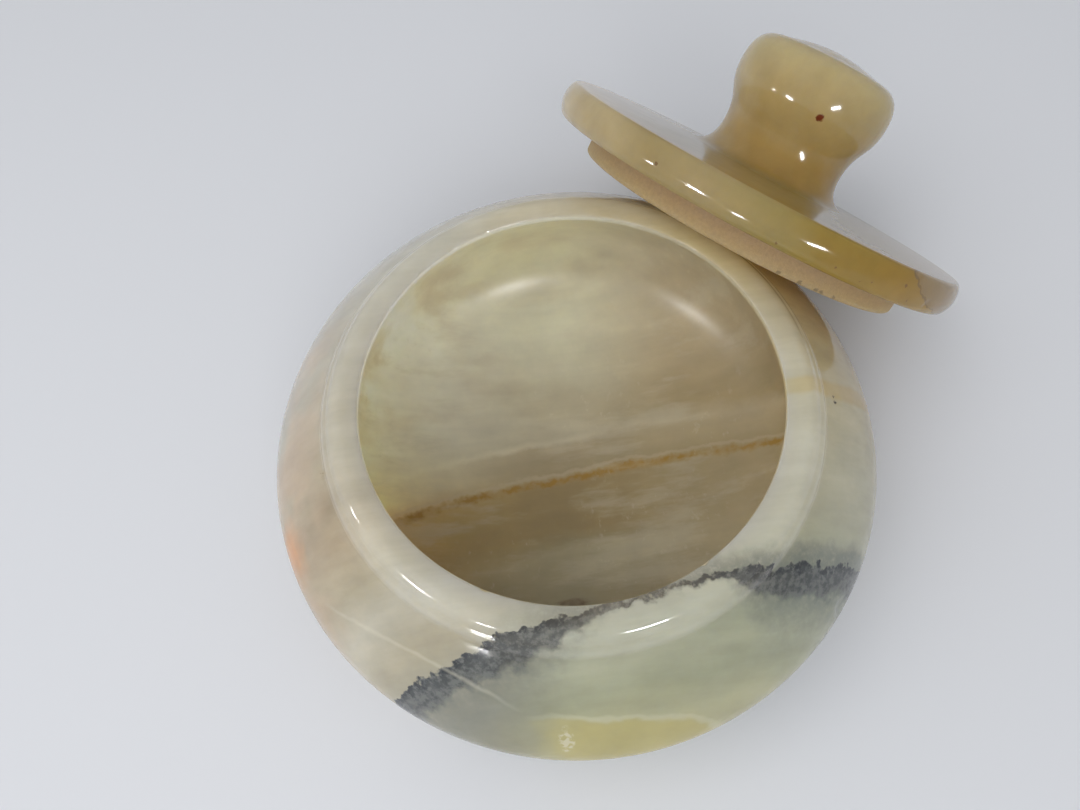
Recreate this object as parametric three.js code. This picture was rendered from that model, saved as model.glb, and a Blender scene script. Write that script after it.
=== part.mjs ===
// A squat turned onyx jar with its lid off.
// The lid leans on the jar: the edge of its disc stands on the table and the flat end of its
// spigot rests against the jar's rim, with the knob pointing up and away.
// Millimetres, +Z up. The origin is the centre of the jar's flat foot.

import * as THREE from 'three';

// ---- driving dimensions: the jar ----
const BODY_RADIUS = 55;          // widest ring
const WIDEST_HEIGHT = 23.5;
const JAR_HEIGHT = 45;           // top of the rim
const FOOT_RADIUS = 31;
const MOUTH_RADIUS = 34.8;
const RIM_RADIUS = 39.6;         // outer edge of the flat rim, before its rounding
const WALL = 12.5;               // at the widest ring: the bowl bulges less than the belly
const FLOOR = 7;                 // thickness under the middle of the bowl

// ---- driving dimensions: the lid ----
const DISC_RADIUS = 42.4;
const DISC_THICKNESS = 6.4;
const SPIGOT_RADIUS = 33.8;      // drops into the mouth with a little play all round
const SPIGOT_DEPTH = 4.5;
const KNOB_TOP = 31.5;           // above the underside of the disc
const KNOB_RADIUS = 15.2;
const NECK_RADIUS = 12.6;

// ---- how the lid leans ----
const LEAN = THREE.MathUtils.degToRad(47.7);    // the knob's axis away from upright
const BEARING = THREE.MathUtils.degToRad(45);   // the side of the jar that it leans on
const SIDESTEP = 1.2;                           // the lid sits this much off that bearing
const GAP = 0.3;                                // clearance where the lid meets the rim

const JAR_SEGMENTS = 56;
const LID_SEGMENTS = 48;

const point = (radius, height) => new THREE.Vector2(radius, height);

// A quarter of a superellipse from its widest ring at (radius, height) towards its pole,
// which lies rise above it (below it if negative). It stops where it has narrowed to endRadius.
function bulge(radius, height, rise, exponent, endRadius, steps) {
  const endAngle = Math.acos((endRadius / radius) ** (exponent / 2));
  return Array.from({ length: steps + 1 }, (_, i) => {
    const angle = (endAngle * i) / steps;
    const out = radius * Math.cos(angle) ** (2 / exponent);
    return point(out, height + rise * Math.sin(angle) ** (2 / exponent));
  });
}

// The pole height that makes a bulge pass through endRadius at a distance away along the axis.
function riseThrough(radius, exponent, endRadius, distance) {
  return distance / (1 - (endRadius / radius) ** exponent) ** (1 / exponent);
}

// A quadratic curve between two points, pulled towards a corner, without its first point.
function bend(from, corner, to, steps) {
  return new THREE.QuadraticBezierCurve(from, corner, to).getPoints(steps).slice(1);
}

// An S-shaped curve between two points that is upright at both, without its first point.
function sway(from, to, steps) {
  const middle = (from.y + to.y) / 2;
  const curve = new THREE.CubicBezierCurve(from, point(from.x, middle), point(to.x, middle), to);
  return curve.getPoints(steps).slice(1);
}

function lathe(outline, segments) {
  const geometry = new THREE.LatheGeometry(outline, segments);
  geometry.rotateX(Math.PI / 2);
  return geometry;
}

// ---- the jar ----

const SHOULDER_ROUNDNESS = 1.5;  // flatter than an ellipse, so the shoulder is nearly a cone
const BELLY_ROUNDNESS = 2.2;
const BOWL_ROUNDNESS = 2.2;
const NECK_DROP = 4;             // the cove under the rim, below the rim's top
const NECK_STEP = 2.4;           // and outside the rim's edge
const EDGE = 0.9;                // rounding of the rim's outer edge
const LIP = 1.4;                 // depth of the straight land inside the mouth

function jarOutside() {
  const neck = point(RIM_RADIUS + NECK_STEP, JAR_HEIGHT - NECK_DROP);
  const bellyRise = riseThrough(BODY_RADIUS, BELLY_ROUNDNESS, FOOT_RADIUS, -WIDEST_HEIGHT);
  const shoulderRise = riseThrough(BODY_RADIUS, SHOULDER_ROUNDNESS, neck.x, neck.y - WIDEST_HEIGHT);
  const belly = bulge(BODY_RADIUS, WIDEST_HEIGHT, bellyRise, BELLY_ROUNDNESS, FOOT_RADIUS, 8);
  const shoulder = bulge(BODY_RADIUS, WIDEST_HEIGHT, shoulderRise, SHOULDER_ROUNDNESS, neck.x, 8);
  const underEdge = point(RIM_RADIUS + EDGE / 2, JAR_HEIGHT - EDGE);
  const coveCorner = point(RIM_RADIUS + EDGE, JAR_HEIGHT - NECK_DROP * 0.6);
  const edgeCorner = point(RIM_RADIUS, JAR_HEIGHT);
  return [
    point(0, 0),
    ...belly.reverse(),
    ...shoulder.slice(1),
    ...bend(neck, coveCorner, underEdge, 3),
    ...bend(underEdge, edgeCorner, point(RIM_RADIUS - EDGE, JAR_HEIGHT), 3),
  ];
}

function jarInside() {
  const boreRadius = BODY_RADIUS - WALL;
  const land = point(MOUTH_RADIUS, JAR_HEIGHT - LIP);
  const bowlRise = FLOOR - WIDEST_HEIGHT;
  const underRise = riseThrough(boreRadius, BELLY_ROUNDNESS, land.x, land.y - WIDEST_HEIGHT);
  const under = bulge(boreRadius, WIDEST_HEIGHT, underRise, BELLY_ROUNDNESS, land.x, 6);
  const bowl = bulge(boreRadius, WIDEST_HEIGHT, bowlRise, BOWL_ROUNDNESS, 0, 10);
  bowl[bowl.length - 1].x = 0;
  return [
    point(MOUTH_RADIUS, JAR_HEIGHT),
    ...under.reverse(),
    ...bowl.slice(1),
  ];
}

// ---- the lid, with its underside at height 0 ----

const SPIGOT_CHAMFER = 0.4;
const EDGE_BULGE = 0.7;          // the disc's edge is a shallow barrel
const CORNER = 0.5;              // bevel where the disc's edge meets its faces
const TOP_RISE = 0.9;            // the disc's top climbs a little towards the knob
const FILLET_RADIUS = 17;        // where the knob's foot flows into the disc
const NECK_HEIGHT = 12.8;
const HEAD_HEIGHT = 23.4;        // widest ring of the knob
const HEAD_CREST = 29.8;          // where the knob's side has turned into its top

function lidOutline() {
  const rimRadius = DISC_RADIUS - EDGE_BULGE;
  const edgeFoot = point(rimRadius, CORNER);
  const edgeTop = point(rimRadius, DISC_THICKNESS - CORNER);
  const filletFoot = point(FILLET_RADIUS, DISC_THICKNESS + TOP_RISE);
  const neck = point(NECK_RADIUS, NECK_HEIGHT);
  const head = point(KNOB_RADIUS, HEAD_HEIGHT);
  const crest = point(KNOB_RADIUS * 0.68, HEAD_CREST);
  return [
    point(0, -SPIGOT_DEPTH),
    point(SPIGOT_RADIUS - SPIGOT_CHAMFER, -SPIGOT_DEPTH),
    point(SPIGOT_RADIUS, SPIGOT_CHAMFER - SPIGOT_DEPTH),
    point(SPIGOT_RADIUS, 0),
    point(rimRadius - CORNER, 0),
    edgeFoot,
    ...bend(edgeFoot, point(DISC_RADIUS + EDGE_BULGE, DISC_THICKNESS / 2), edgeTop, 4),
    point(rimRadius - CORNER, DISC_THICKNESS),
    filletFoot,
    ...bend(filletFoot, point(NECK_RADIUS, DISC_THICKNESS + TOP_RISE), neck, 4),
    ...sway(neck, head, 5),
    ...bend(head, point(KNOB_RADIUS, HEAD_CREST), crest, 4),
    ...bend(crest, point(KNOB_RADIUS * 0.3, KNOB_TOP), point(0, KNOB_TOP), 2),
  ];
}

// Farthest that an outline turned about Z reaches in a direction, elevated by an angle.
function support(outline, elevation) {
  const reaches = outline.map((p) => p.x * Math.cos(elevation) + p.y * Math.sin(elevation));
  return Math.max(...reaches);
}

// The lid's edge stands on the table, and its spigot's end stops GAP short of the jar.
function placeLid(lid, jarShape, lidShape) {
  const height = support(lidShape, LEAN - Math.PI / 2);
  const reach = support(jarShape, Math.PI / 2 - LEAN) + GAP + SPIGOT_DEPTH;
  const distance = (reach - height * Math.cos(LEAN)) / Math.sin(LEAN);
  const upright = new THREE.Vector3(0, 0, 1);
  lid.position.set(distance, SIDESTEP, height).applyAxisAngle(upright, BEARING);
  lid.rotation.set(0, LEAN, BEARING, 'ZYX');
}

const jarStone = new THREE.MeshStandardMaterial({ color: 0xcfc7b2, roughness: 0.2, metalness: 0 });
const lidStone = new THREE.MeshStandardMaterial({ color: 0xb3a16c, roughness: 0.2, metalness: 0 });

const jarShape = [...jarOutside(), ...jarInside()];
const jar = new THREE.Mesh(lathe(jarShape, JAR_SEGMENTS), jarStone);
jar.name = 'jar';

const lidShape = lidOutline();
const lid = new THREE.Mesh(lathe(lidShape, LID_SEGMENTS), lidStone);
lid.name = 'lid';
placeLid(lid, jarShape, lidShape);

const liddedJar = new THREE.Group();
liddedJar.add(jar, lid);

export default liddedJar;
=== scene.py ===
"""The looks of a squat onyx jar with its lid leaning on the rim, built around its CAD frame.

Both pieces are turned again here as smooth, dense meshes with their chips and pits, and get a
procedural banded stone whose layers run through the solid. Shapes are worked out in millimetres
and written to the meshes in metres, in the frame's own axes.
"""

import math

import bpy
import numpy as np
from mathutils import Matrix, Vector, noise


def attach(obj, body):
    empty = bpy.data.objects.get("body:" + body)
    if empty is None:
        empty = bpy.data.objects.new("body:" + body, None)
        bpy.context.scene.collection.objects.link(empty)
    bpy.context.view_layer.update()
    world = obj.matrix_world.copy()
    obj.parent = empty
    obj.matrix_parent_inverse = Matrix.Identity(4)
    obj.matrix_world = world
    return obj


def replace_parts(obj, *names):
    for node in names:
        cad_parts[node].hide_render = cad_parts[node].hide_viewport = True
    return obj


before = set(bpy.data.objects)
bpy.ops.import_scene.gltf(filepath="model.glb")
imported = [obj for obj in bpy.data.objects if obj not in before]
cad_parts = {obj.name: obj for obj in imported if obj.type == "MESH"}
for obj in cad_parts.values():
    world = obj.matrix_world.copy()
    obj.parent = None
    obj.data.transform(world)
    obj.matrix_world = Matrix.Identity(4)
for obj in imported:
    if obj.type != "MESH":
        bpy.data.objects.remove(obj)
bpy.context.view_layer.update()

MM = 0.001

# ---- the jar, as turned; its rim's outer edge has since worn from EDGE to WORN_EDGE ----
BODY_RADIUS = 55.0
WIDEST_HEIGHT = 23.5
JAR_HEIGHT = 45.0
FOOT_RADIUS = 31.0
MOUTH_RADIUS = 34.8
RIM_RADIUS = 39.6
WALL = 12.5
FLOOR = 7.0
SHOULDER_ROUNDNESS = 1.5
BELLY_ROUNDNESS = 2.2
BOWL_ROUNDNESS = 2.2
NECK_DROP = 4.0
NECK_STEP = 2.4
NECK_HOLLOW = 0.6
EDGE = 0.9
WORN_EDGE = 2.0
LIP = 1.4

# ---- the lid, as turned, with its underside at height 0 ----
DISC_RADIUS = 42.4
DISC_THICKNESS = 6.4
SPIGOT_RADIUS = 33.8
SPIGOT_DEPTH = 4.5
SPIGOT_CHAMFER = 0.4
EDGE_BULGE = 0.7
CORNER = 0.5
TOP_RISE = 0.9
FILLET_RADIUS = 17.0
NECK_RADIUS = 12.6
NECK_HEIGHT = 12.8
KNOB_RADIUS = 15.2
HEAD_HEIGHT = 23.4
HEAD_CREST = 29.8
KNOB_TOP = 31.5
CREST_RADIUS = 0.68 * KNOB_RADIUS
TOP_BEND = 0.3 * KNOB_RADIUS

# ---- how the lid leans ----
LEAN = math.radians(47.7)
BEARING = math.radians(45)
SIDESTEP = 1.2
GAP = 0.3

# ---- how both were polished: how far round their corners are worn, and what was lost all over ----
SOFTNESS = 0.25
LOSS = 0.06
TRACING_STEP = 0.05

# ---- how finely both are turned here ----
JAR_SEGMENTS = 440
LID_SEGMENTS = 400


# ---------------------------------------------------------------- outlines

def bulge(radius, height, rise, exponent, end_radius, steps=60):
    """A quarter superellipse from its widest ring towards its pole, down to end_radius."""
    end_angle = math.acos((end_radius / radius) ** (exponent / 2))
    angles = np.linspace(0, end_angle, steps + 1)
    out = radius * np.maximum(np.cos(angles), 0) ** (2 / exponent)
    return np.column_stack([out, height + rise * np.sin(angles) ** (2 / exponent)])


def rise_through(radius, exponent, end_radius, distance):
    """The pole height that makes a bulge pass through end_radius at a distance along the axis."""
    return distance / (1 - (end_radius / radius) ** exponent) ** (1 / exponent)


def bend(start, corner, end, steps=24):
    """A quadratic curve from start to end, pulled towards a corner."""
    t = np.linspace(0, 1, steps + 1)[:, None]
    start, corner, end = map(np.array, (start, corner, end))
    return (1 - t) ** 2 * start + 2 * t * (1 - t) * corner + t ** 2 * end


def sway(start, end, steps=24):
    """An S-shaped curve that is upright at both ends."""
    t = np.linspace(0, 1, steps + 1)[:, None]
    middle = (start[1] + end[1]) / 2
    pull = 3 * t * (1 - t) ** 2 * np.array([start[0], middle])
    pull = pull + 3 * t ** 2 * (1 - t) * np.array([end[0], middle])
    return (1 - t) ** 3 * np.array(start) + pull + t ** 3 * np.array(end)


def jar_outline(edge):
    """From the foot's middle, up the outside, over the rim and down the bowl to its middle.

    edge is how far in from the corner the rounding of the rim's outer edge begins.
    """
    neck = (RIM_RADIUS + NECK_STEP, JAR_HEIGHT - NECK_DROP)
    belly_rise = rise_through(BODY_RADIUS, BELLY_ROUNDNESS, FOOT_RADIUS, -WIDEST_HEIGHT)
    shoulder_rise = rise_through(BODY_RADIUS, SHOULDER_ROUNDNESS, neck[0], neck[1] - WIDEST_HEIGHT)
    under_edge = (RIM_RADIUS + edge / 2, JAR_HEIGHT - edge)
    bore = BODY_RADIUS - WALL
    under_rise = rise_through(bore, BELLY_ROUNDNESS, MOUTH_RADIUS, JAR_HEIGHT - LIP - WIDEST_HEIGHT)
    return np.concatenate([
        [(0, 0)],
        bulge(BODY_RADIUS, WIDEST_HEIGHT, belly_rise, BELLY_ROUNDNESS, FOOT_RADIUS)[::-1],
        bulge(BODY_RADIUS, WIDEST_HEIGHT, shoulder_rise, SHOULDER_ROUNDNESS, neck[0]),
        bend(neck, (RIM_RADIUS + edge, JAR_HEIGHT - NECK_DROP * NECK_HOLLOW), under_edge),
        bend(under_edge, (RIM_RADIUS, JAR_HEIGHT), (RIM_RADIUS - edge, JAR_HEIGHT)),
        [(MOUTH_RADIUS, JAR_HEIGHT)],
        bulge(bore, WIDEST_HEIGHT, under_rise, BELLY_ROUNDNESS, MOUTH_RADIUS)[::-1],
        bulge(bore, WIDEST_HEIGHT, FLOOR - WIDEST_HEIGHT, BOWL_ROUNDNESS, 0, 120),
    ])


def lid_outline():
    """From the spigot's middle, out round the disc and up the knob to its middle."""
    rim = DISC_RADIUS - EDGE_BULGE
    edge_foot = (rim, CORNER)
    edge_top = (rim, DISC_THICKNESS - CORNER)
    fillet_foot = (FILLET_RADIUS, DISC_THICKNESS + TOP_RISE)
    neck = (NECK_RADIUS, NECK_HEIGHT)
    head = (KNOB_RADIUS, HEAD_HEIGHT)
    crest = (CREST_RADIUS, HEAD_CREST)
    return np.concatenate([
        [(0, -SPIGOT_DEPTH), (SPIGOT_RADIUS - SPIGOT_CHAMFER, -SPIGOT_DEPTH)],
        [(SPIGOT_RADIUS, SPIGOT_CHAMFER - SPIGOT_DEPTH), (SPIGOT_RADIUS, 0), (rim - CORNER, 0)],
        bend(edge_foot, (DISC_RADIUS + EDGE_BULGE, DISC_THICKNESS / 2), edge_top),
        [(rim - CORNER, DISC_THICKNESS)],
        bend(fillet_foot, (NECK_RADIUS, DISC_THICKNESS + TOP_RISE), neck),
        sway(neck, head),
        bend(head, (KNOB_RADIUS, HEAD_CREST), crest),
        bend(crest, (TOP_BEND, KNOB_TOP), (0, KNOB_TOP)),
    ])


def polished(outline, spacing):
    """The outline with its corners worn round and a little lost all over.

    Points are spaced as spacing(radius, height) says.
    """
    lengths = np.hypot(*np.diff(outline, axis=0).T)
    outline = outline[np.append(True, lengths > 1e-6)]
    along = np.append(0, np.cumsum(np.hypot(*np.diff(outline, axis=0).T)))
    fine = np.arange(0, along[-1], TRACING_STEP)
    points = np.column_stack([np.interp(fine, along, outline[:, i]) for i in (0, 1)])
    reach = int(3 * SOFTNESS / TRACING_STEP)
    kernel = np.exp(-0.5 * (np.arange(-reach, reach + 1) * TRACING_STEP / SOFTNESS) ** 2)
    kernel = kernel / kernel.sum()
    padded = np.pad(points, ((reach, reach), (0, 0)), mode="edge")
    worn = np.column_stack([np.convolve(padded[:, i], kernel, "valid") for i in (0, 1)])
    out = np.gradient(worn, axis=0)[:, ::-1] * (1, -1)
    worn = worn - LOSS * out / np.linalg.norm(out, axis=1, keepdims=True)
    worn[:, 0] = np.maximum(worn[:, 0], 0)
    rows = np.append(0, np.cumsum(TRACING_STEP / spacing(worn[:-1, 0], worn[:-1, 1])))
    wanted = np.arange(0, rows[-1], 1)
    kept = np.column_stack([np.interp(wanted, rows, worn[:, i]) for i in (0, 1)])
    kept[0, 0] = 0
    return np.vstack([kept, (0, worn[-1, 1])])


# ---------------------------------------------------------------- meshes

def turn(outline, segments):
    """Points and faces of an outline turned about Z; both its ends lie on the axis."""
    rings = outline[1:-1]
    count = len(rings)
    angles = np.linspace(0, 2 * math.pi, segments, endpoint=False)
    x = np.outer(np.cos(angles), rings[:, 0])
    y = np.outer(np.sin(angles), rings[:, 0])
    z = np.broadcast_to(rings[:, 1], x.shape)
    points = np.stack([x, y, z], axis=-1).reshape(-1, 3)
    points = np.vstack([points, (0, 0, outline[0, 1]), (0, 0, outline[-1, 1])])
    first_pole, last_pole = len(points) - 2, len(points) - 1
    faces = []
    for i in range(segments):
        here = i * count
        there = (i + 1) % segments * count
        faces.append((first_pole, there, here))
        faces.extend((here + j, there + j, there + j + 1, here + j + 1) for j in range(count - 1))
        faces.append((here + count - 1, there + count - 1, last_pole))
    return points, faces


def around(angle, radius, height):
    """A point given by its angle in degrees, its radius and its height."""
    turned = math.radians(angle)
    return (radius * math.cos(turned), radius * math.sin(turned), height)


def chip(points, centre, into, size, depth, seed):
    """Knocks a small ragged chip out of the surface around centre, in the direction into."""
    offsets = points - np.array(centre)
    distance = np.linalg.norm(offsets, axis=1) / size
    near = np.flatnonzero(distance < 1.5)
    ragged = [noise.noise(Vector(p) / size + Vector((seed, 0, 0))) for p in points[near].tolist()]
    bite = depth * np.clip(1 - (distance[near] + 0.7 * np.array(ragged)) ** 2, 0, 1)
    points[near] += bite[:, None] * np.array(into)


def make_piece(name, points, faces, material, attributes):
    """A smooth mesh in the scene, with its attributes given as {name: values for the points}."""
    mesh = bpy.data.meshes.new(name)
    mesh.from_pydata((points * MM).tolist(), [], faces)
    mesh.shade_smooth()
    mesh.materials.append(material)
    for key, values in attributes.items():
        kind, field = ("FLOAT", "value") if values.ndim == 1 else ("FLOAT_VECTOR", "vector")
        attribute = mesh.attributes.new(key, kind, "POINT")
        attribute.data.foreach_set(field, values.astype(np.float32).ravel())
    piece = bpy.data.objects.new(name, mesh)
    bpy.context.scene.collection.objects.link(piece)
    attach(piece, "root")
    return piece


def lid_placing():
    """Where the lid leans: its edge on the table, its spigot's end short of the rim by the gap."""
    def support(outline, elevation):
        return (outline @ (math.cos(elevation), math.sin(elevation))).max()

    height = support(lid_outline(), LEAN - math.pi / 2)
    reach = support(jar_outline(EDGE), math.pi / 2 - LEAN) + GAP + SPIGOT_DEPTH
    distance = (reach - height * math.cos(LEAN)) / math.sin(LEAN)
    turned = Matrix.Rotation(BEARING, 4, "Z")
    return turned @ Matrix.Translation((distance, SIDESTEP, height)) @ Matrix.Rotation(LEAN, 4, "Y")


# How steeply a chip at an edge or on the shoulder goes in.
SLANT = 0.7
# Pits in the shoulder: (angle, radius, height).
PITS = [(-170, 42.6, 40.5), (-5.4, 44.3, 39.0), (-6.6, 44.4, 38.7)]
PIT_SIZE = 0.7
PIT_DEPTH = 0.35
# Nicks along the mouth's inner edge: (angle, size).
NICKS = [(145, 0.8), (131, 0.7), (119, 1.0), (87, 0.7), (108, 0.5), (-62, 0.6), (-118, 0.6)]
NICK_DEPTH = 0.4
# Other chips: (place, direction in, size, depth, seed), the lid's in its own axes.
JAR_CHIPS = [
    ((40.6, -36.6, 26.8), (-0.74, 0.67, 0), 2.2, 0.5, 3),
    (around(102, 38, JAR_HEIGHT), (0, 0, -1), 0.7, 0.3, 5),
]
LID_CHIPS = [
    (around(-113, DISC_RADIUS, 2.0), around(67, 1, 0), 1.0, 0.3, 1),
    (around(-121, DISC_RADIUS, 6.0), around(59, SLANT, -SLANT), 0.9, 0.3, 2),
]


def jar_piece():
    """The jar, with an attribute that is 1 in the bowl and 0 outside."""
    def spacing(radius, height):
        return np.where(height > JAR_HEIGHT - NECK_DROP - 1, 0.26, 1.25)

    outline = polished(jar_outline(WORN_EDGE), spacing)
    points, faces = turn(outline, JAR_SEGMENTS)
    mouth_row = np.argmin(np.hypot(outline[:, 0] - MOUTH_RADIUS, outline[:, 1] - JAR_HEIGHT))
    rows = np.tile(np.arange(1, len(outline) - 1), JAR_SEGMENTS)
    foot_and_bowl_middle = (0, 1)
    inside = np.append(np.clip((rows - mouth_row) / 2, 0, 1), foot_and_bowl_middle)
    for seed, (angle, size) in enumerate(NICKS):
        mouth_edge = around(angle, MOUTH_RADIUS, JAR_HEIGHT)
        chip(points, mouth_edge, around(angle, SLANT, -SLANT), size, NICK_DEPTH, seed)
    for angle, radius, height in PITS:
        inward = around(angle + 180, SLANT, -SLANT)
        chip(points, around(angle, radius, height), inward, PIT_SIZE, PIT_DEPTH, angle)
    for details in JAR_CHIPS:
        chip(points, *details)
    return make_piece("jar_stone", points, faces, jar_material(), {"inside": inside})


def lid_piece():
    """The lid where it leans, with an attribute that is the place in the lid's own axes."""
    def spacing(radius, height):
        return np.where((radius > SPIGOT_RADIUS - 2) & (height < DISC_THICKNESS + 0.3), 0.3, 0.9)

    local, faces = turn(polished(lid_outline(), spacing), LID_SEGMENTS)
    for details in LID_CHIPS:
        chip(local, *details)
    placing = np.array(lid_placing())
    points = local @ placing[:3, :3].T + placing[:3, 3]
    return make_piece("lid_stone", points, faces, lid_material(), {"turned": local})


# ---------------------------------------------------------------- materials

class Graph:
    """The node tree of a material or world. Most methods return an output socket."""

    def __init__(self, owner):
        owner.use_nodes = True
        self.owner = owner
        self.tree = owner.node_tree
        self.tree.nodes.clear()

    def feed(self, socket, value):
        if isinstance(value, bpy.types.NodeSocket):
            self.tree.links.new(value, socket)
        else:
            socket.default_value = value

    def add(self, kind, inputs=None, **settings):
        node = self.tree.nodes.new(kind)
        for key, value in settings.items():
            setattr(node, key, value)
        for key, value in (inputs or {}).items():
            self.feed(node.inputs[key], value)
        return node

    def finish(self, output_kind, shader):
        """Links a shader to the tree's output and returns the material or world."""
        output = self.add(output_kind)
        self.feed(output.inputs["Surface"], shader.outputs[0])
        return self.owner

    def math(self, operation, *values):
        node = self.add("ShaderNodeMath", operation=operation)
        for socket, value in zip(node.inputs, values):
            self.feed(socket, value)
        return node.outputs[0]

    def total(self, first, *others):
        for other in others:
            first = self.math("ADD", first, other)
        return first

    def times(self, first, *others):
        for other in others:
            first = self.math("MULTIPLY", first, other)
        return first

    def along(self, place, direction):
        node = self.add("ShaderNodeVectorMath", {0: place, 1: direction}, operation="DOT_PRODUCT")
        return node.outputs["Value"]

    def away(self, place, centre):
        """The distance from a fixed point."""
        node = self.add("ShaderNodeVectorMath", {0: place, 1: centre}, operation="DISTANCE")
        return node.outputs["Value"]

    def stretched(self, place, factors):
        return self.add("ShaderNodeVectorMath", {0: place, 1: factors}, operation="MULTIPLY").outputs[0]

    def step(self, value, low, high):
        """0 at low, 1 at high, smooth between; low may be the greater of the two."""
        inputs = {"Value": value, "From Min": low, "From Max": high}
        return self.add("ShaderNodeMapRange", inputs, interpolation_type="SMOOTHSTEP").outputs[0]

    def noise(self, place, scale, detail=3.0, roughness=0.5):
        inputs = {"Vector": place, "Scale": scale, "Detail": detail, "Roughness": roughness}
        return self.add("ShaderNodeTexNoise", inputs).outputs["Fac"]

    def wander(self, place, scale, reach, detail=2.0):
        """Noise centred on zero, mostly within reach either way."""
        centred = self.math("SUBTRACT", self.noise(place, scale, detail), 0.5)
        return self.math("MULTIPLY", centred, 3 * reach)

    def band(self, value, centre, half_width, fade):
        """1 within half_width of centre, fading to 0 over fade."""
        away = self.math("ABSOLUTE", self.math("SUBTRACT", value, centre))
        return self.step(away, half_width + fade, half_width)

    def mix(self, factor, first, second, blend="MIX"):
        node = self.add("ShaderNodeMix", data_type="RGBA", blend_type=blend)
        for index, value in ((0, factor), (6, first), (7, second)):
            self.feed(node.inputs[index], value)
        return node.outputs[2]

    def tint(self, colour, mask, strength, target):
        """The colour pulled towards target, by strength where the mask is 1."""
        return self.mix(self.times(mask, strength), colour, target)

    def shade(self, colour, value, darkest, lightest):
        """The colour made darker or lighter as value goes from 0 to 1."""
        inputs = {"Value": value, "To Min": darkest, "To Max": lightest}
        amount = self.add("ShaderNodeMapRange", inputs).outputs[0]
        tint = self.add("ShaderNodeCombineXYZ", {0: amount, 1: amount, 2: amount}).outputs[0]
        return self.mix(1.0, colour, tint, "MULTIPLY")

    def layers(self, depth, stops):
        """A colour for each depth, blending from one (depth, colour) stop to the next."""
        low, high = stops[0][0], stops[-1][0]
        inputs = {"Value": depth, "From Min": low, "From Max": high}
        place = self.add("ShaderNodeMapRange", inputs).outputs[0]
        node = self.add("ShaderNodeValToRGB", {"Fac": place})
        elements = node.color_ramp.elements
        while len(elements) < len(stops):
            elements.new(0.5)
        for element, (at, colour) in zip(elements, stops):
            element.position = (at - low) / (high - low)
            element.color = colour
        return node.outputs["Color"]

    def spots(self, place, centres):
        """1 inside any of the small ragged spots given as (x, y, z, radius)."""
        ragged = self.wander(place, 2.0, 0.25)
        covered = 0.0
        for *centre, radius in centres:
            away = self.total(self.away(place, centre), ragged)
            spot = self.step(away, radius * 1.15, radius * 0.7)
            covered = self.math("MAXIMUM", covered, spot)
        return covered


def rgb(red, green, blue):
    return (red, green, blue, 1.0)


def spots_around(marks):
    """(x, y, z, size) for each mark given as (angle, radius, height, size)."""
    return [(*around(angle, radius, height), size) for angle, radius, height, size in marks]


# How far red, green and blue light scatter in the stone, in parts of SCATTER_DEPTH millimetres.
SCATTER_DEPTH = 20
JAR_SCATTER = (1.0, 0.9, 0.7)
LID_SCATTER = (1.0, 0.8, 0.42)
# The height of the polish's faint waves, in millimetres.
RIPPLE = 0.012
UP = (0.0, 0.0, 1.0)

# The stone's layers stand nearly upright and cross both pieces. Depths are in millimetres along these
# directions: from the frame's origin in the jar, and from the middle of the underside in the lid.
OUTER_LAYERS = (-0.147, 0.981, -0.126)
BOWL_LAYERS = (-0.089, 0.890, 0.445)
LID_LAYERS = (0.1, -0.97, 0.2)
VEIN_DEPTH = -40.3
OCHRE_DEPTH = 1.7

# The colour of each layer: (depth, colour), blending from one to the next.
OUTER_LEFT = [
    (-60.0, rgb(0.30, 0.28, 0.18)),
    (-52.0, rgb(0.27, 0.26, 0.18)),
    (-47.0, rgb(0.26, 0.26, 0.21)),
    (-41.0, rgb(0.38, 0.36, 0.28)),
    (-37.0, rgb(0.44, 0.40, 0.30)),
    (-31.0, rgb(0.52, 0.49, 0.40)),
    (-26.0, rgb(0.46, 0.41, 0.30)),
    (-18.0, rgb(0.45, 0.37, 0.26)),
    (-12.0, rgb(0.37, 0.31, 0.22)),
    (-6.0, rgb(0.45, 0.40, 0.30)),
    (12.0, rgb(0.50, 0.47, 0.39)),
    (34.0, rgb(0.52, 0.50, 0.42)),
    (56.0, rgb(0.48, 0.44, 0.34)),
]
# The warm browns from depth -6 to 20 on the right, beside the leaning lid, are a painted reflection of the
# lid and of light bounced from it.
OUTER_RIGHT = [
    (-60.0, rgb(0.44, 0.41, 0.22)),
    (-54.0, rgb(0.42, 0.41, 0.26)),
    (-50.0, rgb(0.36, 0.37, 0.26)),
    (-47.0, rgb(0.41, 0.42, 0.31)),
    (-44.5, rgb(0.35, 0.37, 0.28)),
    (-41.0, rgb(0.40, 0.41, 0.31)),
    (-34.0, rgb(0.43, 0.42, 0.32)),
    (-28.0, rgb(0.48, 0.46, 0.35)),
    (-16.0, rgb(0.51, 0.46, 0.31)),
    (-6.0, rgb(0.52, 0.45, 0.29)),
    (10.0, rgb(0.57, 0.43, 0.22)),
    (20.0, rgb(0.50, 0.40, 0.23)),
    (34.0, rgb(0.52, 0.48, 0.38)),
    (56.0, rgb(0.50, 0.45, 0.34)),
]
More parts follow.
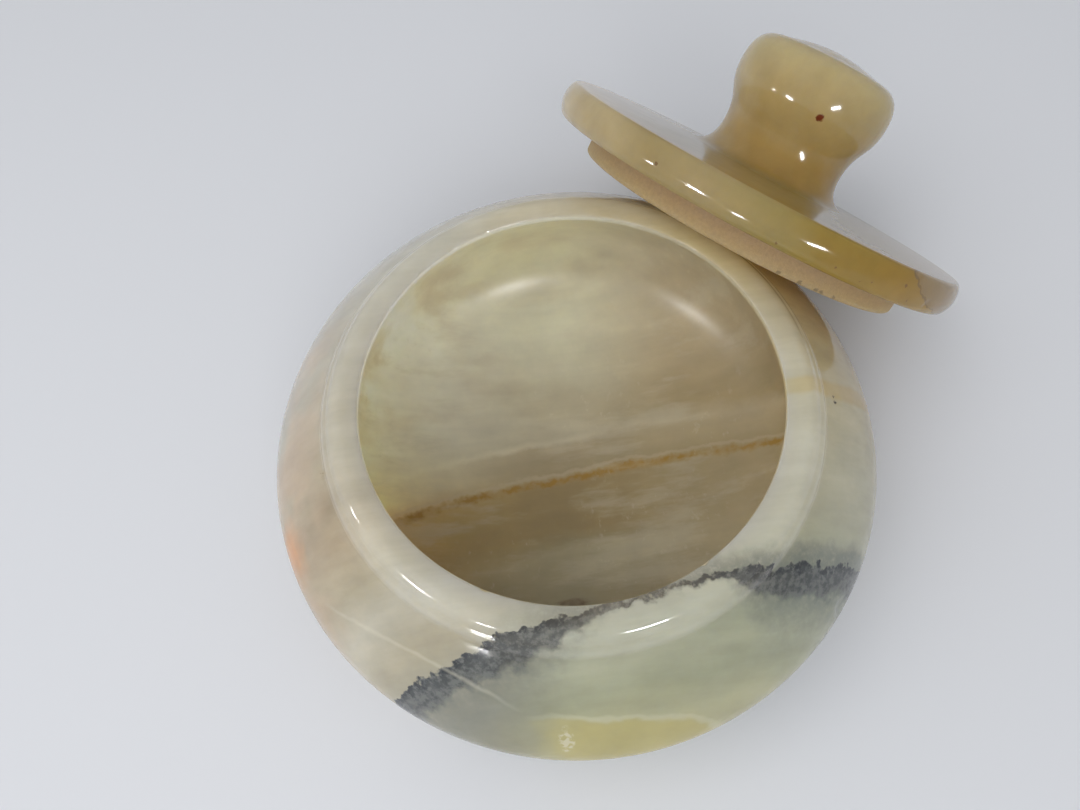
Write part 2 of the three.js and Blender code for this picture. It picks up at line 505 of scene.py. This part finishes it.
# The rise from dark at the front to pale at the back is painted shade under the front lip and painted
# light on the far wall; the narrow bands between are the stone's layers.
BOWL_MIDDLE = [
    (-34.0, rgb(0.40, 0.36, 0.24)),
    (-16.0, rgb(0.41, 0.36, 0.23)),
    (-11.0, rgb(0.50, 0.44, 0.28)),
    (-9.6, rgb(0.42, 0.35, 0.20)),
    (-7.0, rgb(0.38, 0.29, 0.14)),
    (0.6, rgb(0.41, 0.31, 0.15)),
    (2.4, rgb(0.50, 0.41, 0.25)),
    (3.4, rgb(0.44, 0.36, 0.22)),
    (8.3, rgb(0.46, 0.38, 0.24)),
    (9.4, rgb(0.64, 0.57, 0.42)),
    (10.6, rgb(0.53, 0.47, 0.33)),
    (20.0, rgb(0.62, 0.57, 0.41)),
    (32.0, rgb(0.70, 0.67, 0.50)),
    (50.0, rgb(0.74, 0.72, 0.55)),
]
# The left wall's near-white layers are painted light standing in for light coming through the wall from
# the left; the amber below them is the stone's.
BOWL_LEFT = [
    (-14.0, rgb(0.46, 0.36, 0.18)),
    (-6.0, rgb(0.60, 0.44, 0.17)),
    (1.0, rgb(0.66, 0.48, 0.18)),
    (5.0, rgb(0.94, 0.83, 0.56)),
    (14.0, rgb(0.97, 0.91, 0.74)),
    (40.0, rgb(0.98, 0.95, 0.85)),
]
BOWL_RIGHT = [
    (-16.0, rgb(0.52, 0.45, 0.29)),
    (-6.0, rgb(0.50, 0.41, 0.24)),
    (4.0, rgb(0.49, 0.40, 0.23)),
    (9.0, rgb(0.56, 0.47, 0.30)),
    (12.0, rgb(0.46, 0.36, 0.19)),
    (22.0, rgb(0.50, 0.40, 0.24)),
    (40.0, rgb(0.56, 0.47, 0.31)),
]
LID_DISC = [
    (-42.0, rgb(0.48, 0.39, 0.24)),
    (-22.0, rgb(0.40, 0.32, 0.18)),
    (-12.0, rgb(0.31, 0.24, 0.11)),
    (0.0, rgb(0.33, 0.26, 0.13)),
    (11.0, rgb(0.28, 0.22, 0.08)),
    (18.0, rgb(0.26, 0.18, 0.035)),
    (33.0, rgb(0.27, 0.17, 0.03)),
    (42.0, rgb(0.30, 0.21, 0.06)),
]
LID_HEAD = [
    (7.0, rgb(0.42, 0.26, 0.06)),
    (12.0, rgb(0.41, 0.26, 0.06)),
    (17.0, rgb(0.42, 0.31, 0.13)),
    (22.0, rgb(0.40, 0.31, 0.14)),
    (27.0, rgb(0.44, 0.36, 0.19)),
    (32.0, rgb(0.48, 0.41, 0.27)),
]


def finish_stone(graph, colour, roughness, bump_height, scatter):
    """Ends a material as translucent stone; bump_height is in mm."""
    bump = graph.add("ShaderNodeBump", {"Height": bump_height, "Strength": 1.0, "Distance": MM})
    shader = graph.add("ShaderNodeBsdfPrincipled", {
        "Base Color": colour,
        "Roughness": roughness,
        "Normal": bump.outputs[0],
        "IOR": 1.5,
        "Subsurface Weight": 1.0,
        "Subsurface Radius": scatter,
        "Subsurface Scale": SCATTER_DEPTH * MM,
    })
    return graph.finish("ShaderNodeOutputMaterial", shader)


def outer_colour(graph, place, across):
    """Cream, grey-green and olive layers of the jar's outside, streaked, with painted light: a painted
    reflection of the lid in brown on the right, and the front of the rim paler, partly the stone and
    partly a painted brightening.
    """
    depth = graph.total(
        graph.along(place, OUTER_LAYERS),
        graph.wander(place, 0.03, 2.0),
        graph.wander(place, 0.15, 0.7),
    )
    left = graph.layers(depth, OUTER_LEFT)
    right = graph.layers(depth, OUTER_RIGHT)
    colour = graph.mix(graph.step(across, -20.0, -3.0), left, right)
    # Partly painted light: the front of the rim's top is made paler, following the stone's pale rim and
    # also brightening the upward-facing rim.
    rim = graph.step(graph.along(place, UP), 39.5, 43.5)
    front = graph.step(depth, 20.0, -10.0)
    colour = graph.mix(graph.times(rim, front, 0.35), colour, rgb(0.62, 0.60, 0.52))
    streaks = graph.noise(graph.stretched(place, (0.15, 1.0, 0.35)), 0.35, 5.0, 0.55)
    return graph.shade(colour, streaks, 0.80, 1.20)


def add_vein(graph, colour, place, across):
    """The slate-blue vein: a jagged dark edge with a band and a haze hanging below it.

    It is thick at both ends and thin between, where more of the haze lies above it.
    """
    jagged = graph.total(
        graph.along(place, OUTER_LAYERS),
        graph.wander(place, 0.10, 0.9),
        graph.wander(place, 0.4, 0.9),
        graph.wander(place, 1.1, 0.4, 2.0),
    )
    below = graph.math("SUBTRACT", VEIN_DEPTH, jagged)
    to_left = graph.step(across, 6.0, -10.0)
    to_right = graph.step(across, 16.0, 28.0)
    clouds = graph.noise(place, 0.8, 6.0, 0.65)
    started = graph.step(below, -0.25, 0.15)
    over = graph.times(
        graph.step(below, -3.6, -0.6),
        graph.step(below, 1.6, 0.2),
        graph.step(across, -24.0, 2.0),
        0.95,
    )
    reach = graph.total(1.5, graph.times(to_left, 7.0), graph.times(to_right, 11.0))
    under = graph.times(started, graph.step(below, reach, 0.0))
    haze = graph.times(graph.math("MAXIMUM", over, under), graph.step(clouds, 0.0, 0.6))
    colour = graph.tint(colour, haze, 0.8, rgb(0.17, 0.185, 0.17))
    thickness = graph.total(0.9, graph.times(to_left, 3.2), graph.times(to_right, 3.4))
    band = graph.times(started, graph.step(below, thickness, graph.times(thickness, 0.65)))
    ink = graph.mix(graph.step(clouds, 0.38, 0.62), rgb(0.07, 0.076, 0.08), rgb(0.165, 0.172, 0.165))
    colour = graph.tint(colour, band, 0.92, ink)
    edge = graph.times(started, graph.step(below, 1.3, 0.4), graph.step(clouds, 0.65, 0.45))
    return graph.tint(colour, edge, 0.75, rgb(0.035, 0.04, 0.048))


def add_warm_side(graph, colour, place, across):
    """Warm clouds on the jar's left."""
    clouds = graph.step(graph.noise(place, 0.07, 3.0), 0.40, 0.60)
    warm = graph.times(graph.step(across, -34.0, -50.0), clouds)
    return graph.tint(colour, warm, 0.45, rgb(0.62, 0.45, 0.32))


def add_olive_foot(graph, colour, place, across):
    """The olive patch low on the front, with a pale line along its upper edge."""
    depth = graph.total(
        graph.along(place, (0.1, 0.99, 0.0)),
        graph.wander(place, 0.35, 0.35),
        graph.wander(place, 0.08, 1.0),
    )
    side = graph.step(graph.total(across, graph.wander(place, 0.15, 3.0)), -15.0, -5.0)
    olive = graph.times(graph.step(depth, -49.3, -50.2), side)
    colour = graph.tint(colour, olive, 0.7, rgb(0.44, 0.38, 0.14))
    line = graph.times(graph.band(depth, -49.4, 0.1, 0.5), side)
    return graph.tint(colour, line, 0.3, rgb(0.62, 0.60, 0.42))


def add_healed_crack(graph, colour, place, across):
    """A pale line running up the front left of the shoulder."""
    depth = graph.total(graph.along(place, (0.55, 0.835, 0.0)), graph.wander(place, 0.2, 0.4))
    high = graph.step(graph.along(place, UP), 30.0, 34.0)
    crack = graph.times(graph.band(depth, -46.8, 0.0, 0.45), graph.step(across, -12.0, -20.0), high)
    return graph.tint(colour, crack, 0.3, rgb(0.70, 0.68, 0.56))


def add_orange_spot(graph, colour, place):
    away = graph.total(graph.away(place, (-50.5, -17.0, 28.0)), graph.wander(place, 0.3, 1.5))
    return graph.tint(colour, graph.step(away, 7.5, 0.0), 0.75, rgb(0.72, 0.36, 0.15))


def add_crystal(graph, colour, place):
    """A pale crystal in the olive patch, taller than it is wide."""
    crystal = graph.spots(graph.stretched(place, (0.7, 0.3, 0.3)), [(-4.9, -15.5, 8.9, 0.9)])
    crystal = graph.times(crystal, graph.step(graph.noise(place, 0.9, 3.0), 0.40, 0.55))
    return graph.tint(colour, crystal, 0.6, rgb(0.62, 0.60, 0.47))


def add_stripe(graph, colour, place, across):
    """A thin ochre stripe across the rim and shoulder on the right."""
    depth = graph.total(graph.along(place, (-0.1, 0.99, 0.0)), graph.wander(place, 0.2, 0.6))
    stripe = graph.times(graph.band(depth, -7.4, 0.9, 1.2), graph.step(across, 28.0, 34.0))
    return graph.tint(colour, stripe, 0.45, rgb(0.50, 0.36, 0.13))


def add_dirt(graph, colour, place):
    """Dark dirt in the shoulder's pits and the mouth's nicks."""
    pits = graph.spots(place, [(*around(*pit), PIT_SIZE / 2) for pit in PITS])
    nicks = [(*around(angle, MOUTH_RADIUS, JAR_HEIGHT), size / 2) for angle, size in NICKS]
    colour = graph.tint(colour, pits, 0.9, rgb(0.05, 0.04, 0.03))
    return graph.tint(colour, graph.spots(place, nicks), 0.6, rgb(0.16, 0.12, 0.07))


def bowl_colour(graph, place, across):
    """Khaki layers of the bowl, with an ochre vein, clouds and flecks; painted light makes the left wall
    pale, the far wall paler and the front darker.
    """
    depth = graph.total(
        graph.along(place, BOWL_LAYERS),
        graph.wander(place, 0.05, 1.4),
        graph.wander(place, 0.3, 0.5),
        graph.wander(place, 1.0, 0.2),
    )
    colour = graph.layers(depth, BOWL_MIDDLE)
    # Painted light: the left of the bowl is pulled to the pale BOWL_LEFT layers.
    colour = graph.tint(colour, graph.step(across, -2.0, -40.0), 0.95, graph.layers(depth, BOWL_LEFT))
    colour = graph.tint(colour, graph.step(across, 0.0, 28.0), 0.9, graph.layers(depth, BOWL_RIGHT))
    colour = add_ochre_vein(graph, colour, place, depth)
    return add_bowl_clouds(graph, colour, place)


def add_ochre_vein(graph, colour, place, depth):
    """A ragged ochre line of uneven strength, with a thin pale line behind it."""
    uneven = graph.step(graph.noise(place, 0.35, 3.0), 0.35, 0.6)
    strength = graph.total(0.35, graph.times(uneven, 0.6))
    ragged = graph.total(depth, graph.wander(place, 0.9, 0.35))
    ochre = graph.times(graph.band(ragged, OCHRE_DEPTH, 0.15, 1.0), strength)
    colour = graph.mix(ochre, colour, rgb(0.44, 0.26, 0.04))
    edging = graph.band(depth, OCHRE_DEPTH + 1.35, 0.1, 0.4)
    return graph.tint(colour, edging, 0.35, rgb(0.66, 0.56, 0.38))


def add_bowl_clouds(graph, colour, place):
    """Brown clouds, a dark patch just under the front lip, pale flecks and wisps, and faint layer lines.
    """
    clouds = graph.step(graph.noise(graph.stretched(place, (0.5, 1.2, 1.0)), 0.08, 4.0), 0.50, 0.70)
    colour = graph.tint(colour, clouds, 0.22, rgb(0.38, 0.28, 0.14))
    dark_patch = graph.spots(graph.stretched(place, (0.4, 1.0, 1.0)), [(-1.4, -27.5, 9.6, 1.4)])
    colour = graph.mix(graph.times(dark_patch, graph.noise(place, 0.9, 3.0)), colour, rgb(0.16, 0.09, 0.05))
    flecks = graph.noise(graph.stretched(place, (1.0, 0.6, 0.6)), 0.8, 5.0, 0.6)
    where = graph.step(graph.noise(place, 0.07, 2.0), 0.45, 0.62)
    flecks = graph.times(graph.step(flecks, 0.58, 0.70), where)
    colour = graph.tint(colour, flecks, 0.3, rgb(0.70, 0.64, 0.50))
    wisps = graph.noise(graph.stretched(place, (0.25, 1.0, 0.6)), 0.16, 5.0, 0.6)
    colour = graph.tint(colour, graph.step(wisps, 0.48, 0.66), 0.45, rgb(0.66, 0.60, 0.45))
    lines = graph.noise(graph.stretched(place, (0.15, 1.0, 0.5)), 0.3, 4.0)
    return graph.shade(colour, lines, 0.86, 1.14)


def jar_material():
    """Onyx placed by millimetres in the frame's axes, polished outside and duller in the bowl."""
    graph = Graph(bpy.data.materials.new("jar_onyx"))
    metres = graph.add("ShaderNodeTexCoord").outputs["Object"]
    place = graph.stretched(metres, (1 / MM, 1 / MM, 1 / MM))
    across = graph.along(place, (1.0, 0.0, 0.0))
    inside = graph.add("ShaderNodeAttribute", attribute_name="inside").outputs["Fac"]
    outer = outer_colour(graph, place, across)
    outer = add_vein(graph, outer, place, across)
    outer = add_warm_side(graph, outer, place, across)
    outer = add_olive_foot(graph, outer, place, across)
    outer = add_healed_crack(graph, outer, place, across)
    outer = add_orange_spot(graph, outer, place)
    outer = add_crystal(graph, outer, place)
    outer = add_stripe(graph, outer, place, across)
    outer = add_dirt(graph, outer, place)
    colour = graph.mix(inside, outer, bowl_colour(graph, place, across))
    colour = graph.shade(colour, graph.noise(place, 0.12, 4.0, 0.6), 0.84, 1.16)
    roughness = graph.total(0.09, graph.times(inside, 0.25))
    bump = graph.times(graph.noise(place, 0.3, 2.0), RIPPLE)
    return finish_stone(graph, colour, roughness, bump, JAR_SCATTER)


# Specks on the lid: (angle, radius, height, size).
LID_SPECKS = [
    (-144, 42.4, 1.5, 0.35), (-137, 42.4, 1.0, 0.45), (-121, 42.4, 1.4, 0.4), (-130, 38.5, 6.6, 0.5),
    (171, 42.5, 2.6, 0.35), (-158, 42.0, 0.8, 0.3), (-134, 42.5, 1.9, 0.3), (-125, 42.4, 3.6, 0.3),
]
# Dirt on the spigot, on its lower edge and where it meets the disc, in the same form.
SPIGOT_DIRT = [(angle, SPIGOT_RADIUS, 0.4 - SPIGOT_DEPTH, 0.5) for angle in (-150, -143, -137, -135, -130)]
JUNCTION_DIRT = [(angle, SPIGOT_RADIUS + 0.2, -0.4, 0.5) for angle in range(120, 146, 3)]
# The dark red spot on the knob: (x, y, z, size).
KNOB_SPOT = (-13.3, -6.3, 20.0, 0.7)


def polished_lid_colour(graph, place, height):
    """Amber-olive layers of the disc and knob, with the crack near the disc's end, the specks, and the
    knob painted paler on its lit left side.
    """
    depth = graph.total(
        graph.along(place, LID_LAYERS),
        graph.wander(place, 0.06, 4.0),
        graph.wander(place, 0.25, 1.0),
    )
    disc = graph.layers(depth, LID_DISC)
    head = graph.layers(graph.total(height, graph.wander(place, 0.08, 1.5)), LID_HEAD)
    # Painted light: the knob's side towards the lamps on the left is made paler.
    head = graph.tint(head, graph.step(depth, -2.0, -15.0), 0.6, rgb(0.62, 0.55, 0.40))
    colour = graph.mix(graph.step(height, 6.6, 8.6), disc, head)
    crack = graph.total(graph.along(place, (-0.087, -0.783, 0.617)), graph.wander(place, 0.5, 0.4))
    colour = graph.mix(graph.step(crack, 32.9, 33.3), colour, rgb(0.24, 0.17, 0.08))
    colour = graph.tint(colour, graph.band(crack, 33.0, 0.04, 0.14), 0.6, rgb(0.12, 0.08, 0.04))
    colour = graph.shade(colour, graph.noise(place, 0.2, 5.0, 0.6), 0.82, 1.18)
    specks = graph.spots(place, spots_around(LID_SPECKS))
    colour = graph.tint(colour, specks, 0.85, rgb(0.14, 0.07, 0.02))
    return graph.mix(graph.spots(place, [KNOB_SPOT]), colour, rgb(0.16, 0.03, 0.01))


def spigot_colour(graph, place, grain):
    """Matte pinkish tan stone with dirt in its edges."""
    colour = graph.shade(rgb(0.40, 0.27, 0.13), grain, 0.70, 1.30)
    dirt = graph.spots(place, spots_around(SPIGOT_DIRT + JUNCTION_DIRT))
    return graph.tint(colour, dirt, 0.75, rgb(0.12, 0.08, 0.04))


def lid_material():
    """Onyx placed by millimetres in the lid's own axes, polished but for the spigot."""
    graph = Graph(bpy.data.materials.new("lid_onyx"))
    place = graph.add("ShaderNodeAttribute", attribute_name="turned").outputs["Vector"]
    height = graph.along(place, UP)
    raw = graph.step(height, 0.15, -0.1)
    grain = graph.noise(place, 1.6, 4.0, 0.75)
    polish = polished_lid_colour(graph, place, height)
    colour = graph.mix(raw, polish, spigot_colour(graph, place, grain))
    roughness = graph.total(0.1, graph.times(raw, 0.6))
    bump = graph.total(graph.times(graph.noise(place, 0.3, 2.0), RIPPLE), graph.times(raw, grain, 0.12))
    return finish_stone(graph, colour, roughness, bump, LID_SCATTER)


# ---------------------------------------------------------------- stage, light and camera

CAMERA_PLACE = Vector((-5.0, -60.3, 169.6)) * MM
CAMERA_ELEVATION = math.radians(64.95)
CAMERA_ROLL = math.radians(-6.86)
SENSOR_WIDTH = 36.0
LENS = 28.33
FLOOR_HALF_SIDE = 20.0
FLOOR_COLOUR = rgb(0.78, 0.79, 0.82)
ROOM_COLOUR = rgb(0.95, 0.97, 1.0)
ROOM_STRENGTH = 0.38
LEFT_STRENGTH = 0.26

# Lamps: (name, bearing, elevation, distance, width, height, power), in degrees, metres and watts.
# The soft lamps only shade; the bars only make highlights.
SOFT_LAMPS = [
    ("soft_left", -160, 60, 0.6, 0.4, 0.4, 0.8),
    ("soft_front", -95, 42, 0.6, 0.4, 0.25, 0.9),
]
BARS = [
    ("front_bar", -73, 28, 1.0, 0.20, 0.045, 4.4),
    ("front_left_bar", -125, 18, 1.0, 0.10, 0.03, 1.4),
    ("left_bar", -150, 25, 1.0, 0.16, 0.045, 3.4),
    ("far_left_bar", -178, 18, 1.0, 0.06, 0.03, 0.7),
]


def in_scene(name, data):
    thing = bpy.data.objects.new(name, data)
    bpy.context.scene.collection.objects.link(thing)
    return thing


def make_camera():
    data = bpy.data.cameras.new("camera")
    data.sensor_width = SENSOR_WIDTH
    data.lens = LENS
    data.clip_start = 5 * MM
    camera = in_scene("camera", data)
    aim = Matrix.Rotation(math.pi / 2 - CAMERA_ELEVATION, 4, "X")
    roll = Matrix.Rotation(CAMERA_ROLL, 4, "Z")
    camera.matrix_world = Matrix.Translation(CAMERA_PLACE) @ aim @ roll
    bpy.context.scene.camera = camera


def make_floor():
    """A wide, matte, pale table."""
    side = FLOOR_HALF_SIDE
    mesh = bpy.data.meshes.new("floor")
    corners = [(-side, -side, 0), (side, -side, 0), (side, side, 0), (-side, side, 0)]
    mesh.from_pydata(corners, [], [(0, 1, 2, 3)])
    graph = Graph(bpy.data.materials.new("pale_floor"))
    inputs = {"Base Color": FLOOR_COLOUR, "Roughness": 1.0, "Specular IOR Level": 0.0}
    shader = graph.add("ShaderNodeBsdfPrincipled", inputs)
    mesh.materials.append(graph.finish("ShaderNodeOutputMaterial", shader))
    in_scene("floor", mesh)


def make_lamp(name, bearing, elevation, distance, width, height, power):
    """A level rectangle of light that faces the jar from that bearing and elevation."""
    data = bpy.data.lights.new(name, "AREA")
    data.shape = "RECTANGLE"
    data.size = width
    data.size_y = height
    data.energy = power
    raised = math.radians(elevation)
    place = Vector(around(bearing, math.cos(raised), math.sin(raised)))
    lamp = in_scene(name, data)
    lamp.location = place * distance
    lamp.rotation_euler = (-place).to_track_quat("-Z", "Y").to_euler()
    return lamp


def make_world():
    """A pale room, brighter to the left than to the right."""
    graph = Graph(bpy.data.worlds.new("studio"))
    direction = graph.add("ShaderNodeTexCoord").outputs["Generated"]
    leftward = graph.step(graph.along(direction, (-0.9, -0.3, 0.3)), -0.8, 0.8)
    strength = graph.total(ROOM_STRENGTH, graph.times(leftward, LEFT_STRENGTH))
    background = graph.add("ShaderNodeBackground", {"Color": ROOM_COLOUR, "Strength": strength})
    bpy.context.scene.world = graph.finish("ShaderNodeOutputWorld", background)


make_world()
make_floor()
make_camera()
for lamp in SOFT_LAMPS:
    make_lamp(*lamp).visible_glossy = False
for lamp in BARS:
    make_lamp(*lamp).visible_diffuse = False
bpy.context.scene.view_settings.view_transform = "Standard"

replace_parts(jar_piece(), "jar")
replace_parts(lid_piece(), "lid")
